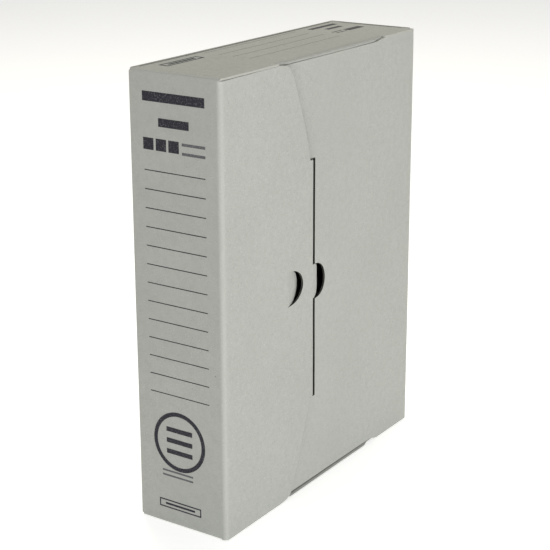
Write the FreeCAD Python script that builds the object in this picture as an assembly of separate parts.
# Archival box: one blank of grey micro-flute board, cut, creased and folded up.
#
# Frame: millimetres, +Z up, origin at the bottom centre of the closed box.
# X is the thickness (closing face at +X, base at -X), Y runs from the spine
# (-Y, the labelled narrow face) to the back wall (+Y), Z is the height.
#
# Along the closing face a place is given as S, its distance from the spine's
# outer face, so y = S - depth / 2.

import FreeCAD, Part
import math
import os

V = FreeCAD.Vector

# ---- overall size -----------------------------------------------------------
width = 78.0            # outside, along X
depth = 263.0           # outside, along Y
height = 333.0          # outside, along Z

# ---- board and clearances ---------------------------------------------------
board = 1.5             # thickness of the board
ply_gap = 0.3           # air between a moving ply and what it lies on
nest_gap = 0.2          # air between two plies folded together for good
cut_gap = 0.5           # width of a die cut beside a moving piece
crease_r = 2.0          # outside radius of a fold that stays folded
edge_drop = 0.4         # how far a hanging panel ends above the table

# ---- end walls, and the flaps folded in from them ---------------------------
end_lip = 68.4          # S where the end walls' long front lip stops
end_heel = 48.4         # length of the end walls' front lip at the back wall
tuck_len = 38.0         # how far a tuck flap reaches behind the cover
tuck_taper = 8.0        # how much each end of a tuck flap leans in
tuck_round = 6.0        # corner radius of a tuck flap
side_len = 58.0         # how far a side flap reaches down the base panel
side_inset = 7.0        # distance of a side flap's ends from the fold's ends
side_taper = 12.0
tab_len = 32.0          # how far an end tab reaches down the back wall
tab_inset = 7.0
tab_taper = 4.0
heel_notch = 1.6        # corner nick of the end walls beside the back wall

# ---- cover panel ------------------------------------------------------------
cover_lap = 40.0        # how far the cover runs on past the closing edge, under the flap
cover_relief = 1.6      # how far its ends step in over the tuck flaps' folds
relief_slope = 8.5      # length of the slope at the end of that step

# ---- closing flap: places along S are counted back from the closing edge -----
flap_reach = 114.0      # S of the closing edge
slit_len = 187.0        # length of the closing edge, which the tongues hang from
corner_back = 44.2      # where the flap's end edge turns into its corner
corner_reach = 14.1     # how far that corner runs, along S
corner_fall = 5.8       # and along Z
mid_back = 19.0         # the bend of the slanted edge
mid_fall = 31.5         # distance of that bend from the flap's end edge
low_back = 5.4          # where the slanted edge meets the shoulder
shoulder = 1.6          # how far the shoulder leans along Z

# ---- tongues and the slit they go through -----------------------------------
tongue_len = 15.0       # how far a tongue reaches through the slit
tongue_taper = 9.0
slit_before = 0.3       # slit edge in front of the folded tongue
slit_behind = 5.1       # slit width past the tongue, at mid height
slit_taper = 1.3        # how much of that is gone at the slit's ends
slit_spare = 1.2        # slit past each end of the tongues

# ---- thumb tabs -------------------------------------------------------------
grip_back = 34.7        # crease of the tab in the flap, back from the closing edge
grip_reach = 20.7       # length of that tab
grip_half = 13.8        # half its height
grip_pressed = 12.0     # degrees it stands pressed in
slit_tab_reach = 16.4   # length of the tab over the slit
slit_tab_half = 13.2
slit_tab_drop = 2.0     # how far it sits below the middle of the slit
slit_tab_pressed = 23.0
grip_room = 2.2         # room round the flap's tab in the cover's notch
notch_room = 2.6        # room round the slit's tab in the cover's notch

# ---- planes and places that follow from the sizes above ---------------------
spine_y = -depth / 2.0
back_y = depth / 2.0
half_x = width / 2.0
bead = board / 2.0                       # radius of a moving fold

flap_x = half_x - bead                   # mid planes of the plies at +X
cover_x = flap_x - board - ply_gap
tuck_x = cover_x - board - ply_gap
cover_face = cover_x + bead              # outer face of the cover

hang_top = height - board - ply_gap      # top of the cover and closing flap
hang_low = edge_drop
closure_z = (hang_top + hang_low) / 2.0  # middle of both, and of the slit
slit_tab_z = closure_z - slit_tab_drop

heel_s = depth - end_heel
cover_start = flap_reach - cover_lap     # S of the cover's free edge
grip_s = flap_reach - grip_back          # S of the flap's thumb tab's crease
edge_s = flap_reach - bead               # S of the tongues' crease axis
tuck_z = height - bead                   # height of the top tuck flap's axis


def y_of(s):
    return s + spine_y


def box(x0, x1, y0, y1, z0, z1):
    return Part.makeBox(x1 - x0, y1 - y0, z1 - z0, V(x0, y0, z0))


def prism(points, way):
    """A straight prism: the closed outline pushed along the vector way."""
    corners = [V(*p) for p in points]
    face = Part.Face(Part.makePolygon(corners + [corners[0]]))
    return face.extrude(V(*way))


def rod(start, way, radius):
    return Part.makeCylinder(radius, V(*way).Length, V(*start), V(*way))


def mirror_z(solid, about):
    return solid.mirror(V(0, 0, about), V(0, 0, 1))


def turned(solid, centre, axis, degrees):
    copy = solid.copy()
    copy.rotate(V(*centre), V(*axis), degrees)
    return copy


def corner_waste(corner, inward_a, inward_b, along, radius):
    """What a round of this radius takes off the straight edge from corner
    along the vector along; inward_a and inward_b point into the material."""
    c = V(*corner)
    a = V(*inward_a)
    b = V(*inward_b)
    way = V(*along)
    over = 0.5
    pts = [
        c - (a + b) * over,
        c + a * radius - b * over,
        c + (a + b) * radius,
        c + b * radius - a * over,
    ]
    block = Part.Face(Part.makePolygon(pts + [pts[0]])).extrude(way)
    centre = c + (a + b) * radius
    return block.cut(Part.makeCylinder(radius, way.Length, centre, way))


def smooth(points, radius):
    """Outline in the plane with every corner marked 'r' rounded to radius.
    Each point is (a, b) or (a, b, 'r'); arcs become runs of short chords."""
    out = []
    n = len(points)
    for i in range(n):
        p = points[i]
        if len(p) == 2:
            out.append((p[0], p[1]))
            continue
        q = points[i - 1]
        s = points[(i + 1) % n]
        ux, uy = q[0] - p[0], q[1] - p[1]
        vx, vy = s[0] - p[0], s[1] - p[1]
        lu, lv = math.hypot(ux, uy), math.hypot(vx, vy)
        ux, uy, vx, vy = ux / lu, uy / lu, vx / lv, vy / lv
        half = math.acos(max(-1.0, min(1.0, ux * vx + uy * vy))) / 2.0
        run = min(radius / math.tan(half), 0.45 * lu, 0.45 * lv)
        r = run * math.tan(half)
        mx, my = ux + vx, uy + vy
        lm = math.hypot(mx, my)
        cx = p[0] + mx / lm * r / math.sin(half)
        cy = p[1] + my / lm * r / math.sin(half)
        a0 = math.atan2(p[1] + uy * run - cy, p[0] + ux * run - cx)
        a1 = math.atan2(p[1] + vy * run - cy, p[0] + vx * run - cx)
        turn = (a1 - a0 + math.pi) % (2 * math.pi) - math.pi
        for k in range(9):
            a = a0 + turn * k / 8.0
            out.append((cx + r * math.cos(a), cy + r * math.sin(a)))
    return out


def sheet_x(points, x0, thick=board):
    """A board in a plane of constant x, from its (S, z) outline."""
    return prism([(x0, y_of(s), z) for s, z in points], (thick, 0, 0))


def half_oval(s0, zc, reach, half, steps=24):
    """Outline of a thumb tab: flat side on S = s0, round end at s0 + reach."""
    pts = []
    for k in range(steps + 1):
        a = math.pi * k / steps - math.pi / 2.0
        pts.append((s0 + reach * math.cos(a) ** 0.85 if 0 < k < steps else s0, zc + half * math.sin(a)))
    return pts


# ---- the four sides of the sleeve -------------------------------------------
def base_panel():
    x0 = -half_x
    x1 = x0 + board
    plan = [(x0, spine_y, 0), (x1, spine_y + board, 0), (x1, back_y - board, 0), (x0, back_y, 0)]
    body = prism(plan, (0, 0, height))
    for y, inward in ((spine_y, 1), (back_y, -1)):
        body = body.cut(corner_waste((x0, y, 0), (1, 0, 0), (0, inward, 0), (0, 0, height), crease_r))
    return body


def spine_panel():
    x0 = -half_x
    x1 = flap_x - bead - ply_gap
    y1 = spine_y + board
    plan = prism([(x0, spine_y, 0), (x1, spine_y, 0), (x1, y1, 0), (x0 + board, y1, 0)], (0, 0, height))
    side = [(x0, spine_y, 0), (x0, spine_y, height), (x0, y1, height - board), (x0, y1, board)]
    body = plan.common(prism(side, (x1 - x0, 0, 0)))
    body = body.cut(corner_waste((x0, spine_y, 0), (1, 0, 0), (0, 1, 0), (0, 0, height), crease_r))
    for z, inward in ((0, 1), (height, -1)):
        body = body.cut(corner_waste((x0, spine_y, z), (0, 1, 0), (0, 0, inward), (width, 0, 0), crease_r))
    return body


def back_wall():
    x0 = -half_x
    x1 = cover_x - bead - ply_gap
    y0 = back_y - board
    plan = [(x0, back_y, 0), (x0 + board, y0, 0), (x1, y0, 0), (x1, back_y, 0)]
    body = prism(plan, (0, 0, height))
    return body.cut(corner_waste((x0, back_y, 0), (1, 0, 0), (0, -1, 0), (0, 0, height), crease_r))


# ---- end walls: made for the top, and turned over for the bottom ------------
def end_wall(lip_x, heel_x):
    """An end wall in its place at the top. Its front edge is lip_x near the
    spine and heel_x near the back wall; between them the tuck flap hangs."""
    x0 = -half_x + board + nest_gap
    y1 = back_y - board - nest_gap
    fold_x = tuck_x - bead - ply_gap
    z0 = height - board
    plan = [
        (x0, spine_y, z0),
        (lip_x, spine_y, z0),
        (lip_x, y_of(end_lip), z0),
        (fold_x, y_of(end_lip), z0),
        (fold_x, y_of(heel_s), z0),
        (heel_x, y_of(heel_s), z0),
        (heel_x, y1 - heel_notch, z0),
        (heel_x - heel_notch, y1, z0),
        (x0, y1, z0),
    ]
    body = prism(plan, (0, 0, board))
    long_side = [(x0, 0, height), (x0 + board, 0, z0), (half_x + 1, 0, z0), (half_x + 1, 0, height)]
    body = body.common(prism([(x, spine_y, z) for x, _, z in long_side], (0, depth, 0)))
    end_side = [(spine_y, height), (spine_y + board, z0), (y1 - board, z0), (y1, height)]
    body = body.common(prism([(x0, y, z) for y, z in end_side], (width, 0, 0)))
    rounds = (
        ((x0, spine_y, height), (0, 1, 0), (width, 0, 0)),
        ((x0, y1, height), (0, -1, 0), (width, 0, 0)),
        ((x0, spine_y, height), (1, 0, 0), (0, depth, 0)),
    )
    for corner, inward, along in rounds:
        body = body.cut(corner_waste(corner, inward, (0, 0, -1), along, crease_r))
    return body


def tuck_flap():
    """Hangs from the end wall's front fold, behind the cover."""
    s0 = end_lip + cut_gap
    s1 = heel_s - cut_gap
    z1 = tuck_z - tuck_len
    outline = smooth(
        [
            (s0, tuck_z),
            (s0, tuck_z - 3.0),
            (s0 + tuck_taper, z1, "r"),
            (s1 - tuck_taper, z1, "r"),
            (s1, tuck_z - 3.0),
            (s1, tuck_z),
        ],
        tuck_round,
    )
    body = sheet_x(outline, tuck_x - bead)
    return body.fuse(rod((tuck_x, y_of(s0), tuck_z), (0, s1 - s0, 0), bead)).removeSplitter()


def side_flap():
    """Folded down from the end wall against the inside of the base panel."""
    x0 = -half_x + board + nest_gap
    s0 = board + side_inset
    s1 = depth - board - side_inset
    z1 = height - side_len
    outline = smooth(
        [
            (s0, height),
            (s0, height - 3.0),
            (s0 + side_taper, z1, "r"),
            (s1 - side_taper, z1, "r"),
            (s1, height - 3.0),
            (s1, height),
        ],
        tuck_round,
    )
    body = sheet_x(outline, x0)
    wedge = [(x0, height), (x0 + board, height), (x0 + board, height - board)]
    body = body.cut(prism([(x, spine_y, z) for x, z in wedge], (0, depth, 0)))
    return body.cut(corner_waste((x0, spine_y, height), (1, 0, 0), (0, 0, -1), (0, depth, 0), crease_r))


def end_tab():
    """Folded down from the end wall against the inside of the back wall."""
    y1 = back_y - board - nest_gap
    x0 = -half_x + board + tab_inset
    x1 = tuck_x - tab_inset
    z1 = height - tab_len
    outline = smooth(
        [
            (x0, height),
            (x0, height - 3.0),
            (x0 + tab_taper, z1, "r"),
            (x1 - tab_taper, z1, "r"),
            (x1, height - 3.0),
            (x1, height),
        ],
        tuck_round,
    )
    body = prism([(x, y1 - board, z) for x, z in outline], (0, board, 0))
    wedge = [(y1, height), (y1 - board, height), (y1 - board, height - board)]
    body = body.cut(prism([(-half_x, y, z) for y, z in wedge], (width, 0, 0)))
    return body.cut(corner_waste((-half_x, y1, height), (0, -1, 0), (0, 0, -1), (width, 0, 0), crease_r))


# ---- cover panel ------------------------------------------------------------
def cover_panel():
    hinge_s = depth - bead
    top = hang_top - cover_relief
    low = hang_low + cover_relief
    outline = [
        (cover_start, low),
        (heel_s - relief_slope, low),
        (heel_s, hang_low),
        (hinge_s, hang_low),
        (hinge_s, hang_top),
        (heel_s, hang_top),
        (heel_s - relief_slope, top),
        (cover_start, top),
    ]
    body = sheet_x(outline, cover_x - bead)
    body = body.fuse(rod((cover_x, y_of(hinge_s), hang_low), (0, 0, hang_top - hang_low), bead))
    slit_z0 = closure_z - slit_len / 2.0 - slit_spare
    slit_z1 = closure_z + slit_len / 2.0 + slit_spare
    near = edge_s - bead - slit_before
    far = edge_s + bead + slit_behind
    slit = [
        (near, slit_z0),
        (far - slit_taper, slit_z0),
        (far, closure_z),
        (far - slit_taper, slit_z1),
        (near, slit_z1),
    ]
    reach = edge_s + slit_tab_reach + notch_room - far + 1.0
    notch = half_oval(far - 1.0, slit_tab_z, reach, slit_tab_half + notch_room / 2.0)
    grip = half_oval(grip_s, closure_z, grip_reach + grip_room, grip_half + grip_room)
    x = cover_x - board
    body = body.cut(sheet_x(slit, x, 2 * board)).cut(sheet_x(notch, x, 2 * board))
    body = body.cut(sheet_x(grip, x, 2 * board))
    open_side = [
        (cover_start - 1.0, closure_z - grip_half - grip_room),
        (grip_s + 0.01, closure_z - grip_half - grip_room),
        (grip_s + 0.01, closure_z + grip_half + grip_room),
        (cover_start - 1.0, closure_z + grip_half + grip_room),
    ]
    return body.cut(sheet_x(open_side, x, 2 * board)).removeSplitter()


# ---- closing flap -----------------------------------------------------------
def flap_outline():
    """Upper half of the closing flap's edge, from the spine to the slit."""
    z = hang_top
    slit_z = closure_z + slit_len / 2.0
    near = edge_s - bead - ply_gap
    corner_s = flap_reach - corner_back
    pts = [(bead, z), (corner_s, z)]
    for k in range(1, 8):
        a = math.radians(90.0 * k / 8.0)
        pts.append((corner_s + corner_reach * math.sin(a), z - corner_fall * (1.0 - math.cos(a))))
    pts.append((corner_s + corner_reach, z - corner_fall))
    pts.append((flap_reach - mid_back, z - mid_fall))
    pts.append((flap_reach - low_back, slit_z + shoulder * 0.4))
    pts.append((flap_reach - low_back + 0.7, slit_z - shoulder * 0.6))
    pts.append((near, slit_z))
    return pts


def closing_flap():
    upper = flap_outline()
    lower = [(s, 2.0 * closure_z - z) for s, z in reversed(upper)]
    body = sheet_x(upper + lower, flap_x - bead)
    tall = hang_top - hang_low
    body = body.fuse(rod((flap_x, y_of(bead), hang_low), (0, 0, tall), bead))
    hole = half_oval(grip_s, closure_z, grip_reach + cut_gap, grip_half + cut_gap)
    x = flap_x - board
    body = body.cut(sheet_x(hole, x, 2 * board))
    crease = [
        (grip_s - bead - ply_gap, closure_z - grip_half - cut_gap),
        (grip_s + 0.01, closure_z - grip_half - cut_gap),
        (grip_s + 0.01, closure_z + grip_half + cut_gap),
        (grip_s - bead - ply_gap, closure_z + grip_half + cut_gap),
    ]
    return body.cut(sheet_x(crease, x, 2 * board)).removeSplitter()


def tongue(inner_z, outer_z):
    """Hangs inward from the closing edge, through the slit. inner_z is its
    end beside the thumb tab, outer_z its tapered end."""
    up = 1.0 if outer_z > inner_z else -1.0
    x1 = flap_x - tongue_len
    outline = smooth(
        [
            (flap_x, inner_z),
            (flap_x, outer_z),
            (flap_x - 2.0, outer_z),
            (x1, outer_z - up * tongue_taper, "r"),
            (x1, inner_z + up * tongue_taper / 3.0, "r"),
            (flap_x - 2.0, inner_z),
        ],
        tuck_round,
    )
    y0 = y_of(edge_s - bead)
    body = prism([(x, y0, z) for x, z in outline], (0, board, 0))
    crease = rod((flap_x, y_of(edge_s), inner_z), (0, 0, outer_z - inner_z), bead)
    return body.fuse(crease).removeSplitter()


def thumb_tab(hinge_s, zc, reach, half, pressed):
    """A round tab hinged on S = hinge_s, pressed in by some degrees."""
    outline = half_oval(hinge_s, zc, reach, half)
    body = sheet_x(outline, flap_x - bead)
    body = body.fuse(rod((flap_x, y_of(hinge_s), zc - half), (0, 0, 2.0 * half), bead))
    return turned(body.removeSplitter(), (flap_x, y_of(hinge_s), zc), (0, 0, 1), pressed)


def flat_bottom(solid):
    return mirror_z(solid, height / 2.0)


half_slit = slit_len / 2.0 - cut_gap
half_tab = slit_tab_half + cut_gap

nodes = {
    "base_panel": base_panel(),
    "spine_panel": spine_panel(),
    "back_wall": back_wall(),
    "top_wall": end_wall(half_x, cover_face),
    "bottom_wall": flat_bottom(end_wall(flap_x - bead - ply_gap, cover_x - bead - ply_gap)),
    "top_tuck_flap": tuck_flap(),
    "bottom_tuck_flap": flat_bottom(tuck_flap()),
    "top_side_flap": side_flap(),
    "bottom_side_flap": flat_bottom(side_flap()),
    "top_end_tab": end_tab(),
    "bottom_end_tab": flat_bottom(end_tab()),
    "cover_panel": cover_panel(),
    "closing_flap": closing_flap(),
    "upper_tongue": tongue(slit_tab_z + half_tab, closure_z + half_slit),
    "lower_tongue": tongue(slit_tab_z - half_tab, closure_z - half_slit),
    "grip_thumb_tab": thumb_tab(grip_s, closure_z, grip_reach, grip_half, grip_pressed),
    "slit_thumb_tab": thumb_tab(edge_s, slit_tab_z, slit_tab_reach, slit_tab_half, slit_tab_pressed),
}

os.makedirs("parts", exist_ok=True)
for name, shape in nodes.items():
    solids = shape.Solids
    if len(solids) != 1:
        raise ValueError(name + " came out as " + str(len(solids)) + " solids")
    if not shape.isValid():
        raise ValueError(name + " is not a valid solid")
    solids[0].exportStep(os.path.join("parts", name + ".step"))
    b = solids[0].BoundBox
    span = (b.XMin, b.XMax, b.YMin, b.YMax, b.ZMin, b.ZMax)
    print(name, round(solids[0].Volume), [round(v, 2) for v in span])
